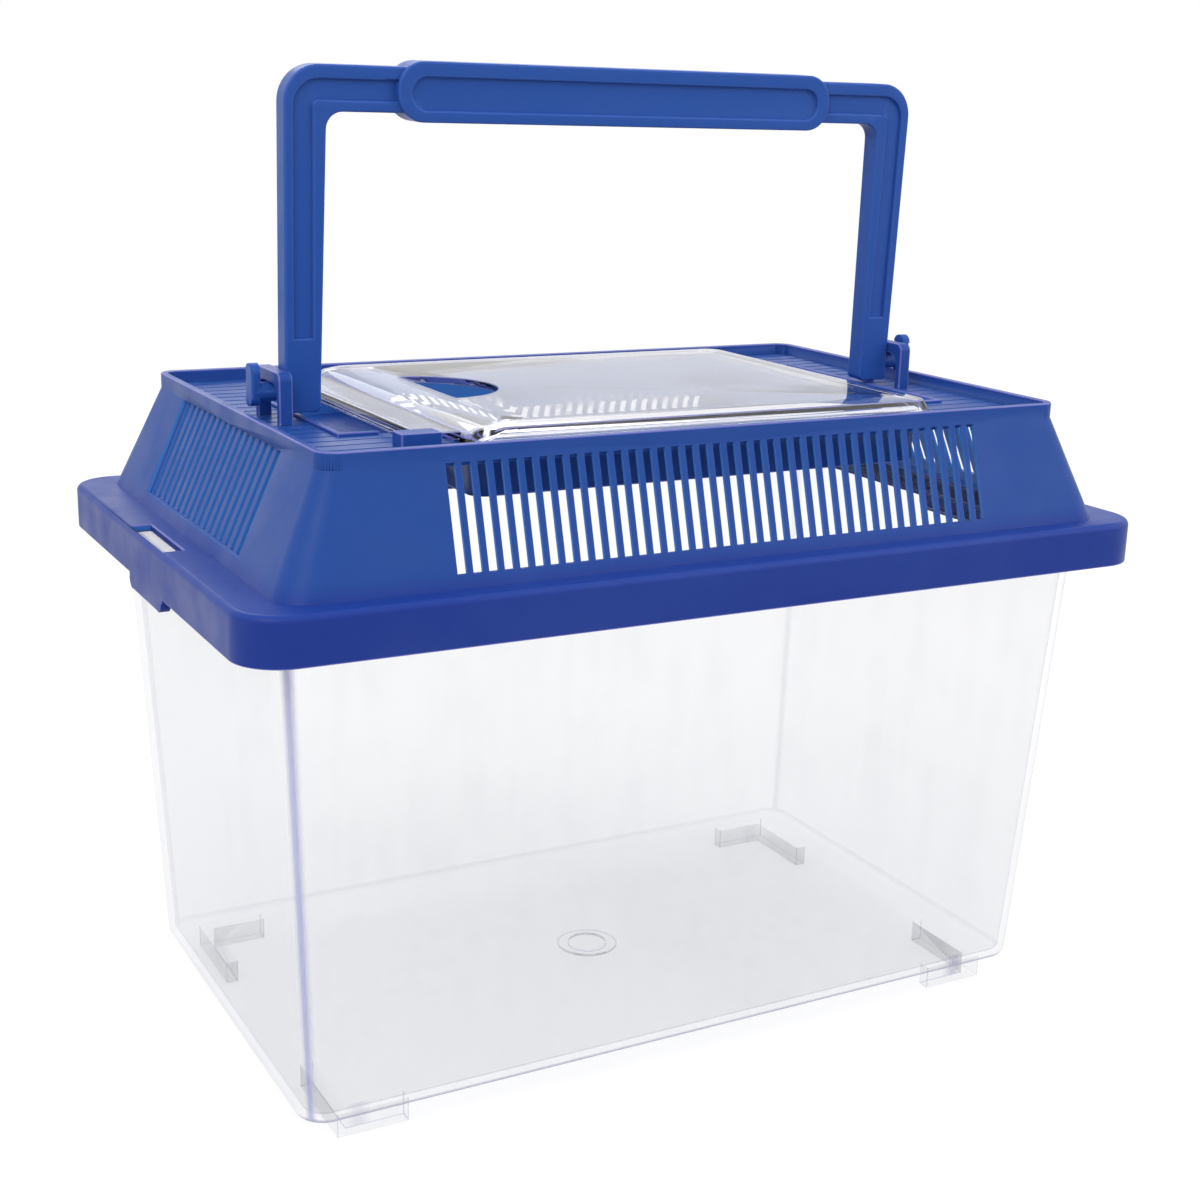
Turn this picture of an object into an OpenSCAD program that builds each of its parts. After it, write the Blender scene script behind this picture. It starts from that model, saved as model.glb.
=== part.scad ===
// Plastic pet keeper: a clear tank, a slotted push-fit lid, a clear hinged
// hatch and a fold-down carrying handle.
// X runs along the length, the front is -Y, Z is up.
// The origin is on the table, under the middle of the tank.

/* [Tank] */
// Outer length of the tank at its base
tank_base_len = 259.2; // [245:0.1:260]
// Outer width of the tank at its base
tank_base_wid = 147.8; // [135:0.1:148.2]
// Height of the tank's mouth above the table
tank_h = 163.3; // [140:0.1:180]
// How far each end wall leans out over the full height
end_draft = 7.6; // [4:0.1:8]
// How far the front and back walls lean out over the full height
side_draft = 7.2; // [4:0.1:7.6]
// Wall and floor thickness of the tank
tank_wall = 2.2; // [1.8:0.1:3]
// Corner radius of the tank
tank_corner_r = 9; // [6:0.5:14]
// Radius of the edge between the walls and the floor
tank_foot_r = 3; // [1.5:0.5:5]
// Width of the tank's seating ledge along the ends
ledge_end = 8.7; // [6:0.1:8.9]
// Width of the tank's seating ledge along the front and back
ledge_side = 10.3; // [7:0.1:11]
// Thickness of the seating ledge
ledge_t = 2.4; // [1.8:0.1:3]
// Depth of the ledge's turned-down lip
ledge_lip = 9; // [5:0.5:9]
// Thickness of the turned-down lip
ledge_lip_t = 2; // [1.5:0.1:2.4]

/* [Feet] */
// Height of the feet
foot_h = 7.4; // [5:0.1:9]
// Thickness of each foot's two arms
foot_t = 4; // [3:0.1:6]
// Length of a foot's arm along the tank
foot_arm_x = 22.3; // [15:0.1:35]
// Length of a foot's arm across the tank
foot_arm_y = 32; // [15:0.5:36]
// From the tank's end to a foot
foot_inset_x = 11.3; // [8:0.1:20]
// From the tank's side to a foot
foot_inset_y = 4.9; // [3.5:0.1:10]
// Outer radius of the moulding gate's ring under the floor
gate_ring_r = 10.4; // [8:0.1:14]
// Inner radius of the gate's ring
gate_bore_r = 6.5; // [4:0.1:7]
// Height of the gate's ring
gate_ring_h = 1; // [0.5:0.1:2]

/* [Lid skirt] */
// Outer length of the lid
lid_len = 300; // [298:0.5:310]
// Outer width of the lid
lid_wid = 189.6; // [188:0.1:200]
// Depth of the lid's skirt
skirt_h = 14; // [12:0.5:18]
// Corner radius of the skirt
skirt_corner_r = 14; // [10:0.5:20]
// Rounding of the skirt's top edge
skirt_edge_r = 2; // [1:0.25:2]
// Wall thickness of the lid
lid_wall = 2.2; // [1.8:0.1:2.6]
// Gap between the tank's ledge and the lid that rests on it
seat_gap = 0.3; // [0.2:0.05:0.4]

/* [Lid roof] */
// Length of the roof at its foot
roof_foot_len = 275.6; // [270:0.1:280]
// Width of the roof at its foot
roof_foot_wid = 175; // [172:0.1:178]
// Corner radius of the roof at its foot
roof_foot_r = 10; // [8:0.5:14]
// Length of the raised rim
rim_len = 246.9; // [244:0.1:252]
// Width of the raised rim
rim_wid = 155.7; // [154:0.1:160]
// Corner radius of the rim
rim_r = 6; // [5:0.5:8]
// Height of the sloping part of the roof
slope_h = 32.2; // [30:0.1:36]
// Height of the upright band over the slope
band_h = 4.8; // [3.5:0.1:5.2]
// Depth of the deck below the top of the rim
deck_drop = 3.9; // [3:0.1:4.2]
// Thickness of the deck
deck_t = 2; // [1.5:0.1:2.4]

/* [Slots] */
// Slots in the front, and again in the back
slot_count = 39; // [31:2:39]
// Distance from slot to slot
slot_pitch = 4.609; // [4.2:0.001:4.8]
// Width of a slot
slot_w = 2.8; // [2:0.1:3.2]
// Lower end of the slots above the roof's foot
slot_low = 3.7; // [3:0.1:6]
// Thickness of the wall between the front slots
grille_t = 1.1; // [0.8:0.1:1.6]
// Depth of the slots' upper ends, in front of the deck
slot_blind_d = 1.1; // [0.6:0.1:1.6]
// Slots in each end panel
end_slot_count = 17; // [11:2:17]
// Distance from slot to slot in the end panels
end_slot_pitch = 5.3; // [4.6:0.1:5.4]
// Width of a slot in the end panels
end_slot_w = 2.6; // [2:0.1:3.2]
// Width of each end panel
panel_w = 94; // [92:0.5:100]
// Depth of each end panel below the wall round it
panel_drop = 1; // [0.5:0.1:1.1]

/* [Hatch opening] */
// Length of the opening in the deck
well_len = 150; // [140:0.5:152]
// Width of the opening in the deck
well_wid = 121; // [110:0.5:123]
// Corner radius of the opening
well_r = 3; // [1:0.5:6]
// Middle of the opening along the lid
well_x = 3.5; // [2:0.5:5]
// Depth of the collar that hangs round the opening
well_depth = 12.5; // [6:0.5:16]
// Thickness of the collar
well_wall = 2; // [1.5:0.1:2.4]
// Finger recess: length beyond the opening's collar
recess_len = 21.5; // [16:0.5:22]
// Finger recess: width
recess_wid = 86; // [60:0.5:100]
// Hinge recess: length beyond the opening's collar
hinge_recess_len = 28.5; // [22:0.5:29]
// Hinge recess: width
hinge_recess_wid = 70; // [50:0.5:90]
// Depth of both recesses below the deck
recess_depth = 6; // [4.5:0.1:8]
// Height of the lip round a recess
lip_h = 1; // [0.5:0.1:1.2]
// Thickness of the lip round a recess
lip_t = 1.6; // [1.2:0.1:2]
// Gap between the hatch and the lip
lip_gap = 1; // [0.5:0.1:2]

/* [Hatch] */
// Length of the hatch's roof, from shoulder to free edge
hatch_len = 151; // [146:0.5:152]
// Width of the hatch's roof
hatch_wid = 128; // [124:0.5:130]
// From the hinge axis to the hatch's roof
hatch_from_axis = 19.5; // [18:0.5:22]
// Height of the hatch's roof above the deck, at its edge
hatch_rise = 5; // [4.5:0.1:6]
// Rise of the middle panel above the hatch's edge
panel_rise = 0.8; // [0.4:0.1:1.2]
// Width of the sloping border round the middle panel
border_w = 9; // [6:0.5:12]
// Spread of the hatch's walls towards the deck
hatch_flare = 2; // [1:0.1:2.5]
// Reach of the rounded shoulder on the hinge side
shoulder_w = 8; // [6:0.5:10]
// Thickness of the hatch
hatch_t = 2.4; // [1.8:0.1:2.6]
// Corner radius of the hatch
hatch_r = 5; // [3:0.5:8]
// Thickness of the web between the hatch and its rod
web_t = 2.4; // [1.6:0.1:2.8]
// Radius of the half-round feeding hole
hole_r = 23; // [16:0.5:26]
// Middle of the feeding hole, back from the centre line
hole_y = 6; // [-10:0.5:10]
// Gap between the hatch and the deck
hatch_gap = 0.3; // [0.2:0.05:0.5]

/* [Hatch hinge] */
// Hinge axis, from the middle of the lid
hinge_x = 88; // [87:0.5:89]
// Radius of the hinge rod
rod_r = 2; // [1.8:0.1:2.2]
// Length of the hinge rod between its two posts
rod_len = 115.2; // [100:0.1:118]
// Radius of the rod's two pivots
pivot_r = 1.5; // [1.2:0.1:1.6]
// Length of each pivot inside its post
pivot_len = 4; // [2.5:0.1:4.5]
// Running clearance round the pivots
pivot_clear = 0.06; // [0.03:0.01:0.1]
// Length of a post along the lid
post_len = 12; // [9:0.5:13]
// How far a post's middle stands beyond the hinge axis
post_shift = 2; // [0:0.5:2]
// Thickness of a post
post_t = 7; // [5:0.5:8]
// Height of a post above the deck
post_h = 5; // [4.6:0.1:6]
// Gap between the rod and a post
post_gap = 0.4; // [0.3:0.1:0.6]

/* [Handle ears] */
// Inner face of each ear, from the middle of the lid
ear_x = 108.7; // [108.7:0.1:110]
// Thickness of the ears
ear_t = 4.1; // [3:0.1:5]
// Outer width of the ears
ear_wid = 21.8; // [20:0.1:28]
// Width of the arch in each ear
arch_wid = 16.6; // [14:0.1:17.8]
// Strap over the arch
strap_t = 3.6; // [2.5:0.1:4]
// Outer corner radius of the ears
ear_r = 2.5; // [1:0.5:6]
// Corner radius inside the arch
arch_r = 4; // [2:0.5:6]

/* [Handle] */
// Height of the handle's pivot above the deck
pivot_h = 8.5; // [8.5:0.1:10]
// How far the pivot lies in front of the lid's middle
pivot_y = 3.5; // [0:0.1:5]
// Height of the handle's top edge above its pivot
handle_h = 92.2; // [80:0.1:100]
// Outer width across the two legs
handle_w = 216.8; // [216:0.1:216.8]
// Width of a leg beside the pivot
leg_w_low = 11; // [9:0.1:11.4]
// Width of a leg under the bar
leg_w_high = 12.5; // [11:0.1:12.7]
// Height of the bar
bar_h = 12.85; // [10:0.05:15]
// Thickness of the legs and the bar
handle_t = 7; // [5:0.1:8]
// Outer corner radius
handle_r = 10.5; // [8:0.5:14]
// Inner corner radius
handle_inner_r = 5; // [3:0.5:8]
// Depth of the channels in the front and back faces
channel_d = 1.2; // [0.6:0.1:2]
// Width of the channel in a leg
leg_channel_w = 5.6; // [4:0.1:6]
// From a leg's outer edge to its channel
leg_channel_in = 2.9; // [2.5:0.1:3.5]
// Height of the channel in the bar
bar_channel_h = 5.65; // [4:0.05:7]
// From the bar's top edge to its channel
bar_channel_in = 4; // [3:0.1:4.5]
// Lower end of the leg channels above the pivot
channel_low = 15.5; // [10:0.5:20]
// How far each leg reaches below the pivot
leg_below = 6.3; // [4.5:0.1:6.3]
// Corner radius of a leg's lower end
leg_end_r = 2; // [1:0.1:4]
// How far the handle leans forward at rest
handle_lean = 2.4; // [0:0.1:8]

/* [Grip] */
// Length of the grip
grip_len = 149.4; // [120:0.1:160]
// Height of the grip
grip_h = 17.1; // [14:0.1:18]
// Height of the grip above the bar's top edge
grip_over = 1.8; // [0.5:0.1:2]
// Thickness of the grip
grip_t = 10; // [8:0.1:10]
// Corner radius of the grip
grip_r = 8; // [4:0.5:8.3]
// Height of the round-ended recess in the grip
grip_recess_h = 9.3; // [6:0.1:11]
// Margin over the grip's recess
grip_margin = 4.4; // [3:0.1:5]
// Depth of the grip's recess
grip_recess_d = 1.2; // [0.5:0.1:2]

/* [Handle pins] */
// Radius of the two pins that the handle turns on
pin_r = 2.9; // [2.5:0.1:3.4]
// Gap round a pin under the strap of its ear
pin_clear = 0.1; // [0.05:0.01:0.3]
// Gap between an ear and the pin's key-shaped head
head_gap = 2.9; // [0.4:0.1:3.5]
// Thickness of a pin's head
head_t = 2.7; // [2:0.1:3]
// Width of a pin's head
head_w = 5.5; // [4:0.1:6]
// Length of a pin's head
head_len = 12.6; // [10:0.1:13]
// How far a head's middle stands above the pin
head_up = 2.2; // [0:0.1:2.5]

/* [Snap hooks] */
// Width of the snap hooks at both ends
hook_w = 35; // [25:0.5:40]
// Thickness of a hook
hook_t = 2.9; // [2.2:0.1:3]
// How far a hook reaches below the skirt
hook_drop = 4.4; // [3:0.1:6]
// Corner radius of a hook
hook_r = 3.5; // [2:0.5:4]
// Size of the catch inside a hook
catch_d = 0.8; // [0.4:0.1:0.9]
// Height of the catch's lower edge above the hook's foot
catch_low = 0.4; // [0.2:0.1:1.5]
// Height of the catch's upright face
catch_face = 0.6; // [0.4:0.1:2]
// Width of the moulding window over a hook
window_w = 35; // [30:0.5:40]
// Length of the moulding window
window_len = 5.9; // [4.5:0.1:7]
// From the lid's end to the window
window_in = 1.2; // [1:0.1:3]

/* [Hidden] */
$fn = 64;
eps = 0.01;
past = 10;
blue = [0.20, 0.34, 0.66];
clear = [0.88, 0.90, 0.94, 0.45];

lid_low_z = tank_h + seat_gap + lid_wall - skirt_h;
flange_z = tank_h + seat_gap + lid_wall;
slope_top_z = flange_z + slope_h;
rim_z = slope_top_z + band_h;
deck_z = rim_z - deck_drop;
deck_low_z = deck_z - deck_t;
slot_low_z = flange_z + slot_low;
slot_open_z = deck_low_z - eps;
pivot_z = deck_z + pivot_h;
pin_end = ear_x + ear_t + head_gap;
end_run = (roof_foot_len - rim_len) / 2;
end_lean = atan(end_run / slope_h);
hinge_z = deck_z + rod_r + hatch_gap + 0.1;
hatch_top_z = deck_z + hatch_rise;
hatch_low_z = deck_z + hatch_gap;
hatch_x0 = hatch_from_axis - hinge_x;
hatch_x1 = hatch_x0 + hatch_len;
well_x0 = well_x - well_len / 2;
well_x1 = well_x + well_len / 2;

// ---- shared shapes ----

module at_corners(len, wid, r)
  for (sx = [-1, 1], sy = [-1, 1])
    translate([sx * (len / 2 - r), sy * (wid / 2 - r)]) children();

module rounded_rect(len, wid, r) {
  square([len - 2 * r, wid], center = true);
  square([len, wid - 2 * r], center = true);
  at_corners(len, wid, r) circle(r);
}

module slab(len, wid, r, z0, z1)
  translate([0, 0, z0]) linear_extrude(z1 - z0) rounded_rect(len, wid, r);

module on_both_ends() {
  children();
  mirror([1, 0, 0]) children();
}

module on_both_sides() {
  children();
  mirror([0, 1, 0]) children();
}

module box(x0, x1, y0, y1, z0, z1)
  translate([x0, y0, z0]) cube([x1 - x0, y1 - y0, z1 - z0]);

// ---- tank ----

function tank_len_at(z) = tank_base_len + 2 * end_draft * (z - foot_h) / (tank_h - foot_h);
function tank_wid_at(z) = tank_base_wid + 2 * side_draft * (z - foot_h) / (tank_h - foot_h);

// Solid of the tank's tapered body, drawn in by an inset on every side
module tank_body(inset, z0, z1) {
  r = tank_corner_r - inset;
  edge = tank_foot_r * (inset > 0 ? 0.6 : 1);
  hull() {
    for (turn = [0 : 15 : 90]) {
      z = z0 + edge * (1 - cos(turn));
      back = edge * (1 - sin(turn)) + inset;
      at_corners(tank_len_at(z) - 2 * back, tank_wid_at(z) - 2 * back, r - edge * (1 - sin(turn)))
        translate([0, 0, z]) cylinder(r = r - edge * (1 - sin(turn)), h = eps, $fn = 32);
    }
    at_corners(tank_len_at(z1) - 2 * inset, tank_wid_at(z1) - 2 * inset, r)
      translate([0, 0, z1 - eps]) cylinder(r = r, h = eps, $fn = 32);
  }
}

module tank_ledge() {
  len = tank_len_at(tank_h) + 2 * ledge_end;
  wid = tank_wid_at(tank_h) + 2 * ledge_side;
  r = skirt_corner_r - lid_wall - 1;
  slab(len, wid, r, tank_h - ledge_t, tank_h);
  difference() {
    slab(len, wid, r, tank_h - ledge_lip, tank_h);
    slab(len - 2 * ledge_lip_t, wid - 2 * ledge_lip_t, r - ledge_lip_t,
      tank_h - ledge_lip - 1, tank_h + 1);
  }
}

module foot() {
  x1 = tank_base_len / 2 - foot_inset_x;
  y1 = tank_base_wid / 2 - foot_inset_y;
  top = foot_h + tank_wall * 0.8;
  box(x1 - foot_arm_x, x1, y1 - foot_t, y1, 0, top);
  box(x1 - foot_t, x1, y1 - foot_arm_y, y1, 0, top);
}

module tank() color(clear) {
  difference() {
    union() {
      tank_body(0, foot_h, tank_h);
      tank_ledge();
    }
    tank_body(tank_wall, foot_h + tank_wall, tank_h + 1);
  }
  on_both_ends() on_both_sides() foot();
  translate([0, 0, foot_h - gate_ring_h]) difference() {
    cylinder(r = gate_ring_r, h = gate_ring_h + tank_wall / 2);
    translate([0, 0, -1]) cylinder(r = gate_bore_r, h = gate_ring_h + 1);
  }
}

// ---- lid ----

module skirt_solid() {
  r = skirt_corner_r;
  e = skirt_edge_r;
  hull() at_corners(lid_len, lid_wid, r) {
    translate([0, 0, lid_low_z]) cylinder(r = r, h = skirt_h - e, $fn = 48);
    for (turn = [15 : 15 : 90])
      translate([0, 0, flange_z - e]) cylinder(r = r - e * (1 - cos(turn)), h = e * sin(turn), $fn = 48);
  }
}

// Tapered roof, drawn in by the wall thickness when inset is set
module roof_solid(inset, z0, z1) {
  fl = roof_foot_len - 2 * inset;
  fw = roof_foot_wid - 2 * inset;
  rl = rim_len - 2 * inset;
  rw = rim_wid - 2 * inset;
  hull() {
    at_corners(fl, fw, roof_foot_r - inset)
      translate([0, 0, flange_z]) cylinder(r = roof_foot_r - inset, h = eps, $fn = 48);
    at_corners(rl, rw, rim_r - inset)
      translate([0, 0, z1 - eps]) cylinder(r = rim_r - inset, h = eps, $fn = 48);
  }
  slab(fl, fw, roof_foot_r - inset, z0, flange_z + eps);
}

// One slot seen from its side, with the outside to the right: open below the deck and
// blind in front of the deck's edge
module slot_profile(foot, top)
  polygon([
    [foot + past, slot_low_z], [foot + past, slope_top_z], [top - slot_blind_d, slope_top_z],
    [top - slot_blind_d, slot_open_z], [top - past, slot_open_z], [top - past, slot_low_z]
  ]);

module back_slots() {
  span = (slot_count - 1) * slot_pitch;
  for (i = [0 : slot_count - 1])
    translate([i * slot_pitch - span / 2 - slot_w / 2, 0, 0]) rotate([90, 0, 90])
      linear_extrude(slot_w) slot_profile(roof_foot_wid / 2, rim_wid / 2);
}

// Hollow behind the slots that thins the wall between them
module grille_pocket() {
  span = slot_count * slot_pitch;
  intersection() {
    roof_solid(grille_t, flange_z, slope_top_z);
    box(-span / 2, span / 2, 0, lid_wid, slot_low_z - grille_t, slot_open_z);
  }
}

// The sunken panel in an end wall, square to the slope, with its slots
module end_panel() {
  span = (end_slot_count - 1) * end_slot_pitch;
  for (i = [0 : end_slot_count - 1])
    translate([0, i * end_slot_pitch - span / 2 + end_slot_w / 2, 0]) rotate([90, 0, 0])
      linear_extrude(end_slot_w) slot_profile(roof_foot_len / 2, rim_len / 2 - panel_drop);
  translate([roof_foot_len / 2, 0, flange_z]) rotate([0, -end_lean, 0])
    translate([-panel_drop, -panel_w / 2, slot_low / cos(end_lean)])
      cube([past, panel_w, (slope_h - slot_low) / cos(end_lean)]);
}

module well_cut() {
  translate([well_x, 0, 0]) slab(well_len, well_wid, well_r, deck_low_z - well_depth - 1, deck_z + 1);
}

// The collar that hangs round the hatch opening
module well_collar() {
  translate([well_x, 0, 0]) difference() {
    slab(well_len + 2 * well_wall, well_wid + 2 * well_wall, well_r + well_wall,
      deck_low_z - well_depth, deck_z - eps);
    slab(well_len, well_wid, well_r, deck_low_z - well_depth - 1, deck_z + 1);
  }
}

// A sunken tray beside the opening's collar. The lip round its mouth stops at lip_x,
// short of the hatch.
module recess_tray(x0, x1, wid, lip_x) {
  low = deck_z - recess_depth;
  half = wid / 2 + lip_t;
  difference() {
    union() {
      box(x0, x1 + lip_t, -half, half, low - deck_t, deck_z - eps);
      box(lip_x, x1 + lip_t, -half, half, deck_z - deck_t, deck_z + lip_h);
    }
    box(x0 - 1, x1, -wid / 2, wid / 2, low, deck_z + lip_h + 1);
  }
}

module recess_cut(x0, x1, wid)
  box(x0, x1, -wid / 2, wid / 2, deck_z - recess_depth, deck_z + lip_h + 1);

module hinge_post() {
  y0 = rod_len / 2 + post_gap;
  mid = -hinge_x - post_shift;
  difference() {
    box(mid - post_len / 2, mid + post_len / 2, y0, y0 + post_t, deck_z - eps, deck_z + post_h);
    translate([-hinge_x, y0 - 1, hinge_z]) rotate([-90, 0, 0])
      cylinder(r = pivot_r + pivot_clear, h = pivot_len + 2 * post_gap + 1);
  }
}

// Inverted U that carries one pin of the handle under its strap
module ear() {
  arch_top = pivot_h + pin_r + pin_clear;
  top = arch_top + strap_t;
  translate([ear_x, -pivot_y, deck_z - eps]) rotate([90, 0, 90]) linear_extrude(ear_t) difference() {
    union() {
      translate([-ear_wid / 2, 0]) square([ear_wid, top - ear_r]);
      translate([-ear_wid / 2 + ear_r, 0]) square([ear_wid - 2 * ear_r, top]);
      for (s = [-1, 1]) translate([s * (ear_wid / 2 - ear_r), top - ear_r]) circle(ear_r);
    }
    translate([-arch_wid / 2, -1]) square([arch_wid, arch_top + 1 - arch_r]);
    translate([-arch_wid / 2 + arch_r, -1]) square([arch_wid - 2 * arch_r, arch_top + 1]);
    for (s = [-1, 1]) translate([s * (arch_wid / 2 - arch_r), arch_top - arch_r]) circle(arch_r);
  }
}

module snap_hook() {
  x1 = lid_len / 2;
  z0 = lid_low_z - hook_drop;
  translate([x1 - hook_t, 0, z0]) rotate([90, 0, 90]) linear_extrude(hook_t) {
    translate([-hook_w / 2, hook_r]) square([hook_w, hook_drop + hook_t - hook_r]);
    translate([-hook_w / 2 + hook_r, 0]) square([hook_w - 2 * hook_r, hook_r + eps]);
    for (s = [-1, 1]) translate([s * (hook_w / 2 - hook_r), hook_r]) circle(hook_r);
  }
  translate([x1 - hook_t + eps, hook_w / 2 - hook_r, z0]) rotate([90, 0, 0])
    linear_extrude(hook_w - 2 * hook_r)
      polygon([
        [0, catch_low], [-catch_d, catch_low + catch_d],
        [-catch_d, catch_low + catch_d + catch_face], [0, catch_low + catch_d + catch_face]
      ]);
}

module lid() color(blue) {
  difference() {
    union() {
      skirt_solid();
      roof_solid(0, flange_z - lid_wall, slope_top_z);
      slab(rim_len, rim_wid, rim_r, slope_top_z - eps, rim_z);
    }
    slab(lid_len - 2 * lid_wall, lid_wid - 2 * lid_wall, skirt_corner_r - lid_wall,
      lid_low_z - 1, flange_z - lid_wall);
    roof_solid(lid_wall, flange_z - lid_wall - 1, deck_low_z);
    slab(rim_len - 2 * lid_wall, rim_wid - 2 * lid_wall, rim_r - lid_wall, deck_z, rim_z + 1);
    on_both_sides() {
      back_slots();
      grille_pocket();
    }
    on_both_ends() end_panel();
    well_cut();
    recess_cut(well_x1 + well_wall, well_x1 + well_wall + recess_len, recess_wid);
    recess_cut(well_x0 - well_wall - hinge_recess_len, well_x0 - well_wall, hinge_recess_wid);
    on_both_ends()
      box(lid_len / 2 - window_in - window_len, lid_len / 2 - window_in, -window_w / 2, window_w / 2,
        flange_z - lid_wall - 1, flange_z + 1);
  }
  well_collar();
  recess_tray(well_x1 + well_wall, well_x1 + well_wall + recess_len, recess_wid,
    hatch_x1 + hatch_flare + lip_gap);
  mirror([1, 0, 0])
    recess_tray(well_wall - well_x0, well_wall - well_x0 + hinge_recess_len, hinge_recess_wid,
      hinge_x + rod_r + lip_gap);
  on_both_sides() hinge_post();
  on_both_ends() ear();
  on_both_ends() snap_hook();
}

// ---- hatch ----

// One level of the hatch's form: its ends along the lid, its width, corner radius and height
module hatch_level(x0, x1, wid, r, z)
  translate([(x0 + x1) / 2, 0, z]) at_corners(x1 - x0, wid, r) cylinder(r = r, h = eps, $fn = 24);

// Solid form of the hatch: flared walls, a round shoulder at the hinge and a raised panel
module hatch_form() {
  drop = hatch_rise - hatch_gap;
  hull() {
    for (turn = [0 : 30 : 90])
      hatch_level(hatch_x0 - shoulder_w * sin(turn), hatch_x1 + hatch_flare * (1 - cos(turn)),
        hatch_wid + 2 * hatch_flare * (1 - cos(turn)), hatch_r, hatch_top_z - drop * (1 - cos(turn)));
    hatch_level(hatch_x0 + border_w, hatch_x1 - border_w, hatch_wid - 2 * border_w, hatch_r,
      hatch_top_z + panel_rise - eps);
  }
}

// Hollow under the hatch
module hatch_hollow() {
  r = hatch_r - hatch_t;
  hull() {
    hatch_level(hatch_x0 - shoulder_w + 1.25 * hatch_t, hatch_x1 + hatch_flare - hatch_t,
      hatch_wid + 2 * (hatch_flare - hatch_t), r, hatch_low_z - 1);
    hatch_level(hatch_x0, hatch_x1 - hatch_t, hatch_wid - 2 * hatch_t, r, hatch_top_z - hatch_t);
    hatch_level(hatch_x0 + border_w, hatch_x1 - border_w, hatch_wid - 2 * border_w, r,
      hatch_top_z + panel_rise - hatch_t);
  }
}

// Half-round hole with its straight side just inside the panel's edge
module feeding_hole() {
  x0 = hatch_x0 + border_w + 1;
  intersection() {
    translate([x0 - 1, hole_y, hatch_low_z]) cylinder(r = hole_r, h = 2 * hatch_rise);
    box(x0, x0 + hole_r + 1, hole_y - hole_r - 1, hole_y + hole_r + 1,
      hatch_low_z, deck_z + 3 * hatch_rise);
  }
}

module hatch() color(clear) {
  difference() {
    hatch_form();
    hatch_hollow();
    feeding_hole();
  }
  box(-hinge_x, hatch_x0 - shoulder_w + hatch_t / 2, -rod_len / 2, rod_len / 2,
    hinge_z - web_t / 2, hinge_z + web_t / 2);
  translate([-hinge_x, 0, hinge_z]) rotate([90, 0, 0]) {
    cylinder(r = rod_r, h = rod_len, center = true);
    cylinder(r = pivot_r, h = rod_len + 2 * (post_gap + pivot_len), center = true);
  }
}

// ---- handle, drawn upright in X and Z with the pivot at height 0 ----

// Rounded arch outline, open at the foot
module arch_outline(half, top, r) {
  translate([-half, 0]) square([2 * half, top - r]);
  translate([-half + r, 0]) square([2 * (half - r), top]);
  for (s = [-1, 1]) translate([s * (half - r), top - r]) circle(r);
}

module handle_outline() {
  low = handle_w / 2 - leg_w_low;
  high = handle_w / 2 - leg_w_high;
  top = handle_h - bar_h;
  r = handle_inner_r;
  difference() {
    union() {
      arch_outline(handle_w / 2, handle_h, handle_r);
      for (s = [-1, 1]) translate([s * (handle_w - leg_w_low) / 2, 0])
        rounded_rect(leg_w_low, 2 * leg_below, leg_end_r);
    }
    polygon([[-low, -eps], [low, -eps], [high, top - r], [-high, top - r]]);
    translate([r - high, 0]) square([2 * (high - r), top]);
    for (s = [-1, 1]) translate([s * (high - r), top - r]) circle(r);
  }
}

module channel_outline() {
  half = handle_w / 2 - leg_channel_in;
  top = handle_h - bar_channel_in;
  intersection() {
    difference() {
      arch_outline(half, top, handle_r - leg_channel_in);
      translate([0, -1]) arch_outline(half - leg_channel_w, top - bar_channel_h + 1, 2);
    }
    translate([-half, channel_low]) square([2 * half, handle_h]);
  }
}

// Stands a flat outline up in X and Z and gives it a depth, centred on Y
module upright(depth)
  translate([0, depth / 2, 0]) rotate([90, 0, 0]) linear_extrude(depth) children();

module grip() {
  mid = handle_h + grip_over - grip_h / 2;
  recess_mid = handle_h + grip_over - grip_margin - grip_recess_h / 2;
  difference() {
    upright(grip_t) translate([0, mid]) rounded_rect(grip_len, grip_h, grip_r);
    on_both_sides() translate([0, grip_t / 2 - grip_recess_d + 1, 0])
      upright(2) translate([0, recess_mid])
        rounded_rect(grip_len - 2 * grip_margin, grip_recess_h, grip_recess_h / 2 - eps);
  }
}

module pin() {
  translate([handle_w / 2 - 1, 0, 0]) rotate([0, 90, 0])
    cylinder(r = pin_r, h = pin_end + head_t / 2 + 1 - handle_w / 2);
  translate([pin_end, 0, head_up]) rotate([90, 0, 90]) linear_extrude(head_t)
    rounded_rect(head_w, head_len, head_w / 2 - eps);
}

module handle() color(blue)
  translate([0, -pivot_y, pivot_z]) rotate([handle_lean, 0, 0]) {
    difference() {
      upright(handle_t) handle_outline();
      on_both_sides() translate([0, handle_t / 2 - channel_d + 1, 0])
        upright(2) channel_outline();
    }
    grip();
    on_both_ends() pin();
  }

tank();
lid();
hatch();
handle();
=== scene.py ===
import math

import bmesh
import bpy
from mathutils import Matrix, Vector


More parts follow.
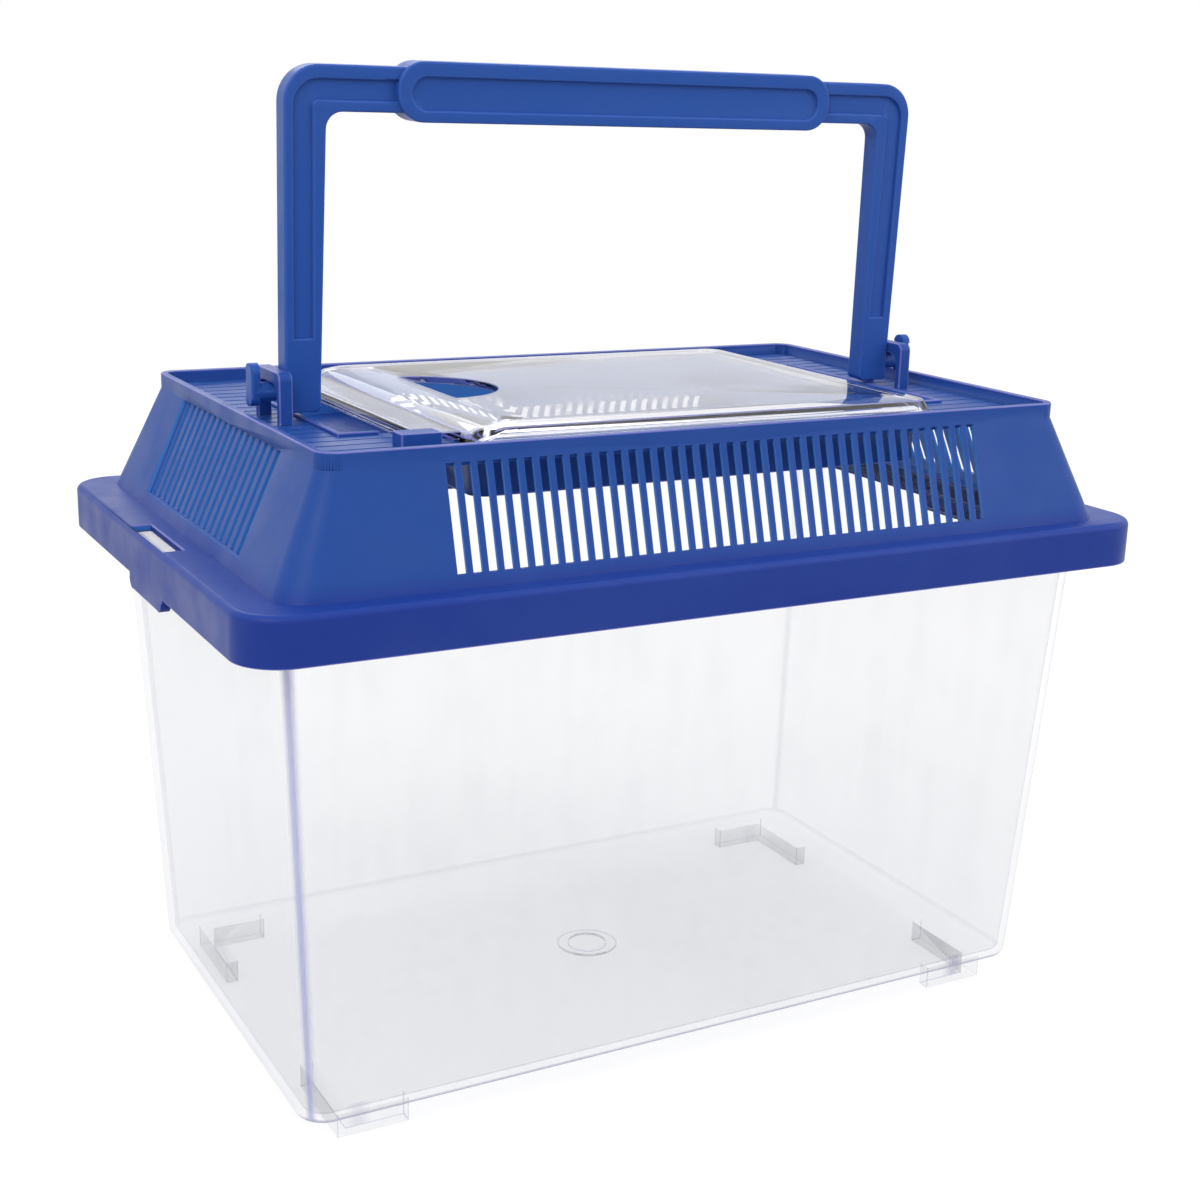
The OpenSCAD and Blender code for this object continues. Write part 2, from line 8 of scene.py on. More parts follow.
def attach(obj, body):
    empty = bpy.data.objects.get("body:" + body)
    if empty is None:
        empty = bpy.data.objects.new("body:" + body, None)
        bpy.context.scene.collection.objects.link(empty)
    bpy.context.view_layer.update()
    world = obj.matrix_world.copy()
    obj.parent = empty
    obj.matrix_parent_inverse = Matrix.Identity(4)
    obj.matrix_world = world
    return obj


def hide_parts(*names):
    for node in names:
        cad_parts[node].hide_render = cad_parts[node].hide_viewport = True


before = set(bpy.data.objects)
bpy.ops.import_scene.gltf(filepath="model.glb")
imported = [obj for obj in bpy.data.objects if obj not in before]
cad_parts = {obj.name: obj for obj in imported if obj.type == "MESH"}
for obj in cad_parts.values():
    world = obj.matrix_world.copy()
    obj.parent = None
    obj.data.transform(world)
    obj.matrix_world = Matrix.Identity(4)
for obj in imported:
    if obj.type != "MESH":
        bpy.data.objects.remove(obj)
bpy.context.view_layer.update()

# ---------------------------------------------------------------------------
# Camera. The photograph is taken from the front left, a little above the lid.
# Its place and angles come from the straight edges of the tank, lid and handle.
CAMERA_PLACE = Vector((-0.27858, -0.50921, 0.28987))
CAMERA_AZIMUTH = -28.82
CAMERA_ELEVATION = 15.27
CAMERA_ROLL = 1.53
FIELD_OF_VIEW = 36.74

camera = bpy.data.objects.new("camera", bpy.data.cameras.new("camera"))
bpy.context.scene.collection.objects.link(camera)
bpy.context.scene.camera = camera
camera.data.sensor_width = 36.0
camera.data.angle = math.radians(FIELD_OF_VIEW)
camera.data.clip_start = 0.01
camera.matrix_world = (
    Matrix.Translation(CAMERA_PLACE)
    @ Matrix.Rotation(math.radians(CAMERA_AZIMUTH), 4, "Z")
    @ Matrix.Rotation(math.radians(90 - CAMERA_ELEVATION), 4, "X")
    @ Matrix.Rotation(math.radians(CAMERA_ROLL), 4, "Z")
)


# ---------------------------------------------------------------------------
# Studio. A white surround, a pale paper floor that turns to plain white light
# further out, and three large soft lamps: two in front and one behind.
SURROUND_LIGHT = 0.86
FLOOR_HALF = 6.0
FLOOR_GREY = 0.38
FLOOR_LIFT = 0.66
PAPER_RADIUS = (0.55, 1.5)
LAMPS = (
    # name, place, aim, size, watts
    ("key", (-1.3, -1.0, 1.7), (0, 0, 0.15), 1.5, 18.0),
    ("fill", (1.5, -1.2, 1.1), (0, 0, 0.15), 1.6, 9.5),
    ("back", (0.5, 1.6, 1.4), (0, 0, 0.2), 1.4, 7.0),
)


def link(tree, source, socket):
    tree.links.new(source, socket)


def add_node(tree, kind, **inputs):
    node = tree.nodes.new(kind)
    for name, value in inputs.items():
        node.inputs[name.replace("_", " ")].default_value = value
    return node


def math_node(tree, operation, *values):
    node = tree.nodes.new("ShaderNodeMath")
    node.operation = operation
    for socket, value in zip(node.inputs, values):
        if isinstance(value, bpy.types.NodeSocket):
            link(tree, value, socket)
        else:
            socket.default_value = value
    return node.outputs[0]


def spread(tree, value, low, high, new_low=0.0, new_high=1.0):
    """Maps low..high to new_low..new_high, and holds it there beyond them."""
    node = tree.nodes.new("ShaderNodeMapRange")
    link(tree, value, node.inputs["Value"])
    limits = {"From Min": low, "From Max": high, "To Min": new_low, "To Max": new_high}
    for name, number in limits.items():
        if isinstance(number, bpy.types.NodeSocket):
            link(tree, number, node.inputs[name])
        else:
            node.inputs[name].default_value = number
    return node.outputs["Result"]


def mixed_shader(tree, share, first, second):
    mix = tree.nodes.new("ShaderNodeMixShader")
    link(tree, share, mix.inputs["Fac"])
    link(tree, first, mix.inputs[1])
    link(tree, second, mix.inputs[2])
    return mix.outputs[0]


def seen_directly(tree):
    """1 for rays from the camera, and for those that a glossy or clear surface sends on."""
    path = tree.nodes.new("ShaderNodeLightPath")
    seen = math_node(tree, "MAXIMUM", path.outputs["Is Camera Ray"], path.outputs["Is Glossy Ray"])
    return math_node(tree, "MAXIMUM", seen, path.outputs["Is Transmission Ray"])


bpy.context.scene.view_settings.view_transform = "Standard"
world = bpy.data.worlds.new("studio")
bpy.context.scene.world = world
world.use_nodes = True
sky = world.node_tree
sky.nodes["Background"].inputs["Color"].default_value = (1, 1, 1, 1)
surround = spread(sky, seen_directly(sky), 0, 1, SURROUND_LIGHT, 1)
link(sky, surround, sky.nodes["Background"].inputs["Strength"])

for name, place, aim, size, watts in LAMPS:
    lamp = bpy.data.lights.new(name, "AREA")
    lamp.shape = "DISK"
    lamp.size = size
    lamp.energy = watts
    lamp_object = bpy.data.objects.new(name, lamp)
    lamp_object.location = place
    lamp_object.rotation_euler = (Vector(aim) - Vector(place)).to_track_quat("-Z", "Y").to_euler()
    bpy.context.scene.collection.objects.link(lamp_object)

floor_mesh = bpy.data.meshes.new("floor")
floor_mesh.from_pydata(
    [(x * FLOOR_HALF, y * FLOOR_HALF, 0) for x, y in ((-1, -1), (1, -1), (1, 1), (-1, 1))],
    [], [(0, 1, 2, 3)],
)
floor = bpy.data.objects.new("floor", floor_mesh)
bpy.context.scene.collection.objects.link(floor)
floor_finish = bpy.data.materials.new("floor_paper")
floor_finish.use_nodes = True
tree = floor_finish.node_tree
tree.nodes.clear()
paper = add_node(tree, "ShaderNodeBsdfDiffuse", Color=(FLOOR_GREY, FLOOR_GREY, FLOOR_GREY, 1))
lift = add_node(tree, "ShaderNodeEmission", Color=(1, 1, 1, 1))
link(tree, math_node(tree, "MULTIPLY", seen_directly(tree), FLOOR_LIFT), lift.inputs["Strength"])
both = tree.nodes.new("ShaderNodeAddShader")
link(tree, paper.outputs[0], both.inputs[0])
link(tree, lift.outputs[0], both.inputs[1])
from_middle = tree.nodes.new("ShaderNodeVectorMath")
from_middle.operation = "LENGTH"
link(tree, tree.nodes.new("ShaderNodeTexCoord").outputs["Object"], from_middle.inputs[0])
far = math_node(
    tree, "MULTIPLY", seen_directly(tree), spread(tree, from_middle.outputs["Value"], *PAPER_RADIUS)
)
white = add_node(tree, "ShaderNodeEmission", Color=(1, 1, 1, 1), Strength=1.0)
link(
    tree, mixed_shader(tree, far, both.outputs[0], white.outputs[0]),
    tree.nodes.new("ShaderNodeOutputMaterial").inputs["Surface"],
)
floor_mesh.materials.append(floor_finish)


# ---------------------------------------------------------------------------
# Tank. One clear polystyrene moulding with tapered walls, a seating ledge under
# the lid, four L-shaped feet and the ring of the moulding gate under its floor.
TANK_EDGE = 0.0003
TANK_TINT = (0.968, 0.969, 0.973, 1)
# The pale film of the scuffs, which at a slant is a painted reflection of the white surround.
TANK_SCUFF_AND_SHEEN_FILM = (0.80, 0.805, 0.88, 1)
TANK_EDGE_FILM = (0.42, 0.43, 0.76, 1)
CLEAR_IOR = 1.5
CLEAR_ROUGHNESS = (0.03, 0.16)
CLEAR_WAVE = 0.0003
SCUFF_SHARE = 0.03
SLANT_POWER = 4.0
FAR_CORNER_SHARE = 0.3
WELD = 0.000002
CORNER_ANGLE = math.radians(28.0)


def take_modifiers(piece):
    """Turns what the modifiers make into the piece's own mesh."""
    bpy.context.view_layer.update()
    evaluated = piece.evaluated_get(bpy.context.evaluated_depsgraph_get())
    finished = bpy.data.meshes.new_from_object(evaluated)
    finished.name = piece.name
    piece.modifiers.clear()
    piece.data = finished


def moulded_copy(node, name, finishes, edge, steps=2, crisp=None, thin=None):
    """A welded copy of a CAD node's mesh. Its outer edges are rounded and take the second finish,
    apart from those whose place or length crisp names; faces that thin names take the third."""
    form = bmesh.new()
    form.from_mesh(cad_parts[node].data)
    bmesh.ops.remove_doubles(form, verts=form.verts, dist=WELD)
    for face in form.faces:
        face.material_index = 2 if thin and thin(face.calc_center_median(), face.normal) else 0
        face.smooth = True
    rounded = form.edges.layers.float.new("bevel_weight_edge")
    for side in form.edges:
        if len(side.link_faces) != 2 or side.calc_face_angle_signed(0) < CORNER_ANGLE:
            continue
        middle = (side.verts[0].co + side.verts[1].co) / 2
        if not (crisp and crisp(middle, side.calc_length())):
            side[rounded] = 1.0
    mesh = bpy.data.meshes.new(name)
    form.to_mesh(mesh)
    form.free()
    for finish in finishes:
        mesh.materials.append(finish)
    piece = bpy.data.objects.new(name, mesh)
    bpy.context.scene.collection.objects.link(piece)
    bevel = piece.modifiers.new("moulded_edge", "BEVEL")
    bevel.width = edge
    bevel.segments = steps
    bevel.limit_method = "WEIGHT"
    bevel.use_clamp_overlap = False
    bevel.miter_outer = "MITER_SHARP"
    bevel.material = 1
    take_modifiers(piece)
    piece.data.set_sharp_from_angle(angle=CORNER_ANGLE)
    even = piece.modifiers.new("even_faces", "WEIGHTED_NORMAL")
    even.mode = "FACE_AREA"
    even.weight = 100
    even.keep_sharp = True
    take_modifiers(piece)
    return piece


def finish_group(name, inputs, outputs):
    group = bpy.data.node_groups.new(name, "ShaderNodeTree")
    for socket, kind, value in inputs:
        group.interface.new_socket(socket, in_out="INPUT", socket_type=kind).default_value = value
    for socket, kind in outputs:
        group.interface.new_socket(socket, in_out="OUTPUT", socket_type=kind)
    return group, group.nodes.new("NodeGroupInput"), group.nodes.new("NodeGroupOutput")


def place_group(tree, group, **values):
    node = tree.nodes.new("ShaderNodeGroup")
    node.node_tree = group
    for name, value in values.items():
        node.inputs[name.replace("_", " ")].default_value = value
    return node.outputs


def noise(tree, place, scale, detail=3.0, stretch=None):
    """A noise value in Object coordinates; stretch squeezes it along the axes."""
    if stretch:
        mapping = add_node(tree, "ShaderNodeMapping", Scale=stretch)
        link(tree, place, mapping.inputs["Vector"])
        place = mapping.outputs["Vector"]
    texture = add_node(tree, "ShaderNodeTexNoise", Detail=detail)
    link(tree, place, texture.inputs["Vector"])
    if isinstance(scale, bpy.types.NodeSocket):
        link(tree, scale, texture.inputs["Scale"])
    else:
        texture.inputs["Scale"].default_value = scale
    return texture.outputs["Fac"]


# Handling marks on clear plastic: faint upright scuffs in patches, the slow waviness of a
# cooled sheet, and a mask of the rounded corners, where the plastic is seen in its full depth.
SCRATCH_SCALE = 90.0
SCRATCH_STRETCH = (1.0, 1.0, 0.12)
SCUFF_RANGE = (0.24, 0.46)
WAVE_SCALE = 14.0
# How squarely a face looks along one axis: on a flat wall, and well into a rounded corner.
UPRIGHT_CORNER = (0.86, 0.74)
# How much a face looks down or up, where the walls turn into the floor and the bend ends.
FOOT_BEND = (0.20, 0.50)
FOOT_BEND_END = (0.99, 0.90)
FOOT_BEND_SHARE = 0.9
INNER_SHARE = 0.2
INNER_BLUR = 0.02

marks, marks_in, marks_out = finish_group(
    "handling_marks",
    [("Scuff Scale", "NodeSocketFloat", 38.0), ("Roughness Low", "NodeSocketFloat", 0.03),
     ("Roughness High", "NodeSocketFloat", 0.16), ("Wave Height", "NodeSocketFloat", 0.0004)],
    [("Scuffs", "NodeSocketFloat"), ("Corner", "NodeSocketFloat"), ("Roughness", "NodeSocketFloat"),
     ("Normal", "NodeSocketVector")],
)
coordinates = marks.nodes.new("ShaderNodeTexCoord")
where = coordinates.outputs["Object"]
patches = noise(marks, where, marks_in.outputs["Scuff Scale"], 4.0)
scratches = noise(marks, where, SCRATCH_SCALE, 2.0, SCRATCH_STRETCH)
scuffs = spread(marks, math_node(marks, "MULTIPLY", patches, scratches), *SCUFF_RANGE)
link(marks, scuffs, marks_out.inputs["Scuffs"])
dulled = spread(
    marks, scuffs, 0, 1, marks_in.outputs["Roughness Low"], marks_in.outputs["Roughness High"]
)
link(marks, dulled, marks_out.inputs["Roughness"])
facing = marks.nodes.new("ShaderNodeVectorMath")
facing.operation = "ABSOLUTE"
link(marks, coordinates.outputs["Normal"], facing.inputs[0])
axes = marks.nodes.new("ShaderNodeSeparateXYZ")
link(marks, facing.outputs[0], axes.inputs[0])
larger = math_node(marks, "MAXIMUM", axes.outputs["Y"], axes.outputs["Z"])
squarest = math_node(marks, "MAXIMUM", axes.outputs["X"], larger)
upright = spread(marks, squarest, *UPRIGHT_CORNER)
bend_start = spread(marks, axes.outputs["Z"], *FOOT_BEND)
bend_end = spread(marks, axes.outputs["Z"], *FOOT_BEND_END)
lying = math_node(marks, "MULTIPLY", bend_start, bend_end)
faded = math_node(marks, "MULTIPLY", lying, FOOT_BEND_SHARE)
rounded_part = math_node(marks, "MAXIMUM", upright, faded)
# The inner side of a wall faces the middle of the tank, and shows its corners far less.
outward = marks.nodes.new("ShaderNodeVectorMath")
outward.operation = "DOT_PRODUCT"
link(marks, coordinates.outputs["Normal"], outward.inputs[0])
link(marks, where, outward.inputs[1])
outer_share = spread(marks, outward.outputs["Value"], 0.0, INNER_BLUR, INNER_SHARE, 1.0)
link(marks, math_node(marks, "MULTIPLY", rounded_part, outer_share), marks_out.inputs["Corner"])
wave = add_node(marks, "ShaderNodeBump", Strength=1.0)
link(marks, marks_in.outputs["Wave Height"], wave.inputs["Distance"])
link(marks, noise(marks, where, WAVE_SCALE, 1.0), wave.inputs["Height"])
link(marks, wave.outputs["Normal"], marks_out.inputs["Normal"])


def clear_plastic(name, tint, film, plain, slant, corner):
    """Clear polystyrene: see-through where it is looked at square on, and a pale violet film
    where the eye meets it at a slant, in its thick corners and in its scuffs. At a slant the film
    is a painted reflection of the white surround. It lets things show through without bending
    them. The corners take the tank's edge film on every piece."""
    material = bpy.data.materials.new(name)
    material.use_nodes = True
    tree = material.node_tree
    skin = tree.nodes["Principled BSDF"]
    skin.inputs["IOR"].default_value = CLEAR_IOR
    low, high = CLEAR_ROUGHNESS
    used = place_group(tree, marks, Roughness_Low=low, Roughness_High=high, Wave_Height=CLEAR_WAVE)
    if film == TANK_EDGE_FILM:
        skin.inputs["Base Color"].default_value = film
    else:
        tone = tree.nodes.new("ShaderNodeMix")
        tone.data_type = "RGBA"
        tone.inputs["A"].default_value = film
        tone.inputs["B"].default_value = TANK_EDGE_FILM
        link(tree, used["Corner"], tone.inputs["Factor"])
        link(tree, tone.outputs["Result"], skin.inputs["Base Color"])
    link(tree, used["Roughness"], skin.inputs["Roughness"])
    link(tree, used["Normal"], skin.inputs["Normal"])
    see_through = add_node(tree, "ShaderNodeBsdfTransparent", Color=tint)
    # Painted reflection: the film's share grows at a slant, standing in for the white surround
    # reflected there.
    slanted = add_node(tree, "ShaderNodeLayerWeight", Blend=0.5).outputs["Facing"]
    share = math_node(
        tree, "MULTIPLY_ADD", math_node(tree, "POWER", slanted, SLANT_POWER), slant, plain
    )
    # Where a ray leaves the plastic, through the back of a face, its corners are fainter.
    behind = tree.nodes.new("ShaderNodeNewGeometry").outputs["Backfacing"]
    shown = spread(tree, behind, 0, 1, corner, FAR_CORNER_SHARE * corner)
    share = math_node(tree, "ADD", share, math_node(tree, "MULTIPLY", used["Corner"], shown))
    share = math_node(tree, "MULTIPLY_ADD", used["Scuffs"], SCUFF_SHARE, share)
    plastic = mixed_shader(tree, share, see_through.outputs[0], skin.outputs[0])
    link(tree, plastic, tree.nodes["Material Output"].inputs["Surface"])
    return material


tank = moulded_copy(
    "tank", "clear_tank",
    (clear_plastic(
        "clear_polystyrene", TANK_TINT, TANK_SCUFF_AND_SHEEN_FILM, plain=0.018, slant=0.30, corner=0.70
    ), clear_plastic(
        "clear_polystyrene_edge", TANK_TINT, TANK_EDGE_FILM, plain=0.30, slant=0.4, corner=0.2
    )),
    TANK_EDGE,
)
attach(tank, "tank")
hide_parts("tank")


# ---------------------------------------------------------------------------
# Lid. One blue polypropylene moulding: the skirt with its two snap hooks, the
# slotted roof, the sunk deck with the hatch opening, the posts and the ears.
LID_EDGE = 0.0004
BLUE = (0.017, 0.070, 0.315, 1)
# A darker blue for the skirt below SKIRT_TOP: painted shade, for the lesser light on its upright
# faces.
BLUE_PAINTED_SHADE = (0.014, 0.043, 0.285, 1)
BLUE_WORN = (0.050, 0.105, 0.370, 1)
# A paler blue for the rounded edges: painted highlight.
BLUE_EDGE_HIGHLIGHT = (0.130, 0.150, 0.480, 1)
# A paler, more cyan blue for the slot sides and the roof's inside: painted light, for light coming
# through the thin plastic.
BLUE_THIN_LIT = (0.050, 0.190, 0.560, 1)
SKIRT_TOP = 0.1645
SLOTS_HALF = 0.092
END_SLOTS_HALF = 0.0465
LID_HEART = Vector((0, 0, 0.120))
SLOPES_Z = (0.1660, 0.1986)
SLOPES_FROM_X = 0.118
SLOPES_FROM_Y = 0.072
SKIRT_CORNERS_BELOW = 0.190
SHORT_FACET = 0.0008
ROOF_INSIDE_Z = (0.1600, 0.1985)
SQUARE_ON = 0.9
BLUE_IOR = 1.45
GLOW_RADIUS = (0.25, 0.6, 1.0)
GLOW_SCALE = 0.003

# Moulded polypropylene: slight mottling of the colour, a darker blue on the skirt that is
# painted shade, and a satin skin of uneven gloss with fine grain.
PAINTED_SHADE_FADE = 0.006
MOTTLE_SCALE = 24.0
MOTTLE_RANGE = (0.40, 0.85)
MOTTLE_SHARE = 0.30
GLOSS_SCALE = 60.0
GLOSS_RANGE = (0.3, 0.7)

satin, satin_in, satin_out = finish_group(
    "satin_moulding",
    [("Colour", "NodeSocketColor", BLUE), ("Deep Colour", "NodeSocketColor", BLUE_PAINTED_SHADE),
     ("Worn Colour", "NodeSocketColor", BLUE_WORN), ("Deep Below", "NodeSocketFloat", SKIRT_TOP),
     ("Grain Scale", "NodeSocketFloat", 900.0), ("Grain Height", "NodeSocketFloat", 0.00002),
     ("Roughness Low", "NodeSocketFloat", 0.30), ("Roughness High", "NodeSocketFloat", 0.46)],
    [("Colour", "NodeSocketColor"), ("Roughness", "NodeSocketFloat"), ("Normal", "NodeSocketVector")],
)
where = satin.nodes.new("ShaderNodeTexCoord").outputs["Object"]
height = satin.nodes.new("ShaderNodeSeparateXYZ")
link(satin, where, height.inputs[0])
# Painted shade: below the skirt's top the colour turns to the darker blue.
above = math_node(satin, "SUBTRACT", height.outputs["Z"], satin_in.outputs["Deep Below"])
tone = satin.nodes.new("ShaderNodeMix")
tone.data_type = "RGBA"
link(satin, spread(satin, above, 0.0, PAINTED_SHADE_FADE), tone.inputs["Factor"])
link(satin, satin_in.outputs["Deep Colour"], tone.inputs["A"])
link(satin, satin_in.outputs["Colour"], tone.inputs["B"])
worn = satin.nodes.new("ShaderNodeMix")
worn.data_type = "RGBA"
mottle = spread(satin, noise(satin, where, MOTTLE_SCALE, 4.0), *MOTTLE_RANGE, 0.0, MOTTLE_SHARE)
link(satin, mottle, worn.inputs["Factor"])
link(satin, tone.outputs["Result"], worn.inputs["A"])
link(satin, satin_in.outputs["Worn Colour"], worn.inputs["B"])
link(satin, worn.outputs["Result"], satin_out.inputs["Colour"])
gloss = spread(
    satin, noise(satin, where, GLOSS_SCALE, 3.0), *GLOSS_RANGE,
    satin_in.outputs["Roughness Low"], satin_in.outputs["Roughness High"],
)
link(satin, gloss, satin_out.inputs["Roughness"])
grain = add_node(satin, "ShaderNodeBump", Strength=1.0)
link(satin, satin_in.outputs["Grain Height"], grain.inputs["Distance"])
link(satin, noise(satin, where, satin_in.outputs["Grain Scale"], 2.0), grain.inputs["Height"])
link(satin, grain.outputs["Normal"], satin_out.inputs["Normal"])


def blue_plastic(name, colour, shaded_colour, worn, shade_below, glow=0.25, shine=0.18):
    """Blue polypropylene. With glow, a little light goes through it, which fills the thin bars
    and slots. Where its three blues are one, that blue is the same all over."""
    material = bpy.data.materials.new(name)
    material.use_nodes = True
    tree = material.node_tree
    skin = tree.nodes["Principled BSDF"]
    skin.inputs["IOR"].default_value = BLUE_IOR
    skin.inputs["Specular IOR Level"].default_value = shine
    skin.inputs["Subsurface Weight"].default_value = glow
    skin.inputs["Subsurface Radius"].default_value = GLOW_RADIUS
    skin.inputs["Subsurface Scale"].default_value = GLOW_SCALE
    used = place_group(
        tree, satin, Colour=colour, Deep_Colour=shaded_colour, Worn_Colour=worn, Deep_Below=shade_below
    )
    if colour == shaded_colour == worn:
        skin.inputs["Base Color"].default_value = colour
    else:
        link(tree, used["Colour"], skin.inputs["Base Color"])
    link(tree, used["Roughness"], skin.inputs["Roughness"])
    link(tree, used["Normal"], skin.inputs["Normal"])
    return material


def on_slopes(place):
    """The slotted slopes, whose own edges stay as crisp as the tool leaves them."""
    outside_deck = abs(place.x) > SLOPES_FROM_X or abs(place.y) > SLOPES_FROM_Y
    return SLOPES_Z[0] < place.z < SLOPES_Z[1] and outside_deck


def crisp_on_lid(place, length):
    """The slopes, and the short facets of the skirt's round corners, which are round enough."""
    return on_slopes(place) or (place.z < SKIRT_CORNERS_BELOW and length < SHORT_FACET)


def lit_slot_sides(place, normal):
    """The sides of the slots and the roof's inside, which take a paler blue of painted light
    for the light that comes through the thin plastic and fills them.
    """
    if ROOF_INSIDE_Z[0] < place.z < ROOF_INSIDE_Z[1] and normal.dot(place - LID_HEART) < 0:
        return True
    if abs(place.x) < SLOTS_HALF:
        return on_slopes(place) and abs(normal.x) > SQUARE_ON
    return on_slopes(place) and abs(place.y) < END_SLOTS_HALF and abs(normal.y) > SQUARE_ON


lid_blue = blue_plastic("blue_polypropylene", BLUE, BLUE_PAINTED_SHADE, BLUE_WORN, SKIRT_TOP)
# The rounded edges: a painted highlight in a paler blue, on a glossier skin.
lid_edge_highlight_blue = blue_plastic(
    "blue_polypropylene_edge_highlight", BLUE_EDGE_HIGHLIGHT, BLUE_EDGE_HIGHLIGHT, BLUE_EDGE_HIGHLIGHT, SKIRT_TOP, glow=0.0, shine=0.4
)
# The slot sides and the roof's inside: a paler blue of painted light.
lid_thin_lit_blue = blue_plastic(
    "blue_polypropylene_thin_lit", BLUE_THIN_LIT, BLUE_THIN_LIT, BLUE_THIN_LIT, SKIRT_TOP
)
lid = moulded_copy(
    "lid", "blue_lid", (lid_blue, lid_edge_highlight_blue, lid_thin_lit_blue), LID_EDGE,
    crisp=crisp_on_lid, thin=lit_slot_sides,
)
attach(lid, "lid")
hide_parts("lid")


# ---------------------------------------------------------------------------
# Deck ribs. Low moulded ribs run along the keeper on both ends of the sunk deck,
# between the rim and the hatch well, and stop at the finger and hinge recesses.
RIB_PITCH = 0.0069
RIB_COUNT = 21
RIB_WIDTH = 0.0012
RIB_HEIGHT = 0.00013
DECK_Z = 0.1989
RIB_FAR_X = 0.1200
RECESS_FAR_X = 0.1025
RIB_ENDS = (
    # end of the lid, its side, near x, half width of the recess there
    ("Hinge End", -1, 0.0745, 0.0370),
    ("Free End", 1, 0.0820, 0.0450),
)

ribs_tree = bpy.data.node_groups.new("deck_ribs", "GeometryNodeTree")
ribs_tree.is_modifier = True
ribs_tree.interface.new_socket("Geometry", in_out="OUTPUT", socket_type="NodeSocketGeometry")
rib_sizes = [
    ("Pitch", "NodeSocketFloat", RIB_PITCH), ("Rib Count", "NodeSocketInt", RIB_COUNT),
    ("Rib Width", "NodeSocketFloat", RIB_WIDTH), ("Rib Height", "NodeSocketFloat", RIB_HEIGHT),
    ("Deck Height", "NodeSocketFloat", DECK_Z), ("Far X", "NodeSocketFloat", RIB_FAR_X),
    ("Recess Far X", "NodeSocketFloat", RECESS_FAR_X), ("Plastic", "NodeSocketMaterial", None),
]
for end, _, near_x, recess_half in RIB_ENDS:
    rib_sizes.append((end + " Near X", "NodeSocketFloat", near_x))
    rib_sizes.append((end + " Recess Half", "NodeSocketFloat", recess_half))
rib_inputs = {}
for name, kind, value in rib_sizes:
    socket = ribs_tree.interface.new_socket(name, in_out="INPUT", socket_type=kind)
    if value is not None:
        socket.default_value = value
    rib_inputs[name] = socket.identifier
sizes = ribs_tree.nodes.new("NodeGroupInput").outputs
gaps = math_node(ribs_tree, "SUBTRACT", sizes["Rib Count"], 1.0)
middle = math_node(ribs_tree, "MULTIPLY", gaps, -0.5)
first_rib = ribs_tree.nodes.new("ShaderNodeCombineXYZ")
link(ribs_tree, math_node(ribs_tree, "MULTIPLY", middle, sizes["Pitch"]), first_rib.inputs["Y"])
link(ribs_tree, sizes["Deck Height"], first_rib.inputs["Z"])
step = ribs_tree.nodes.new("ShaderNodeCombineXYZ")
link(ribs_tree, sizes["Pitch"], step.inputs["Y"])
rows = ribs_tree.nodes.new("GeometryNodeMeshLine")
link(ribs_tree, sizes["Rib Count"], rows.inputs["Count"])
link(ribs_tree, first_rib.outputs[0], rows.inputs["Start Location"])
link(ribs_tree, step.outputs[0], rows.inputs["Offset"])
rib_block = ribs_tree.nodes.new("GeometryNodeMeshCube").outputs["Mesh"]
row_place = ribs_tree.nodes.new("ShaderNodeSeparateXYZ")
link(ribs_tree, ribs_tree.nodes.new("GeometryNodeInputPosition").outputs[0], row_place.inputs[0])
from_middle = math_node(ribs_tree, "ABSOLUTE", row_place.outputs["Y"])
both_ends = ribs_tree.nodes.new("GeometryNodeJoinGeometry")
for end, side, _, _ in RIB_ENDS:
    # A rib in line with the recess starts beyond it, and is shorter.
    near_x = sizes[end + " Near X"]
    in_line = math_node(ribs_tree, "LESS_THAN", from_middle, sizes[end + " Recess Half"])
    shorter_by = math_node(ribs_tree, "SUBTRACT", sizes["Recess Far X"], near_x)
    start_x = math_node(ribs_tree, "MULTIPLY_ADD", in_line, shorter_by, near_x)
    length = math_node(ribs_tree, "SUBTRACT", sizes["Far X"], start_x)
    both_x = math_node(ribs_tree, "ADD", sizes["Far X"], start_x)
    centre = math_node(ribs_tree, "MULTIPLY", both_x, side / 2)
    shift = ribs_tree.nodes.new("ShaderNodeCombineXYZ")
    link(ribs_tree, centre, shift.inputs["X"])
    size = ribs_tree.nodes.new("ShaderNodeCombineXYZ")
    link(ribs_tree, length, size.inputs["X"])
    link(ribs_tree, sizes["Rib Width"], size.inputs["Y"])
    link(ribs_tree, math_node(ribs_tree, "MULTIPLY", sizes["Rib Height"], 2.0), size.inputs["Z"])
    moved = ribs_tree.nodes.new("GeometryNodeSetPosition")
    link(ribs_tree, rows.outputs["Mesh"], moved.inputs["Geometry"])
    link(ribs_tree, shift.outputs[0], moved.inputs["Offset"])
    ribs = ribs_tree.nodes.new("GeometryNodeInstanceOnPoints")
    link(ribs_tree, moved.outputs[0], ribs.inputs["Points"])
    link(ribs_tree, rib_block, ribs.inputs["Instance"])
    link(ribs_tree, size.outputs[0], ribs.inputs["Scale"])
    link(ribs_tree, ribs.outputs[0], both_ends.inputs[0])
real = ribs_tree.nodes.new("GeometryNodeRealizeInstances")
link(ribs_tree, both_ends.outputs[0], real.inputs[0])
painted = ribs_tree.nodes.new("GeometryNodeSetMaterial")
link(ribs_tree, real.outputs[0], painted.inputs["Geometry"])
link(ribs_tree, sizes["Plastic"], painted.inputs["Material"])
link(ribs_tree, painted.outputs[0], ribs_tree.nodes.new("NodeGroupOutput").inputs[0])

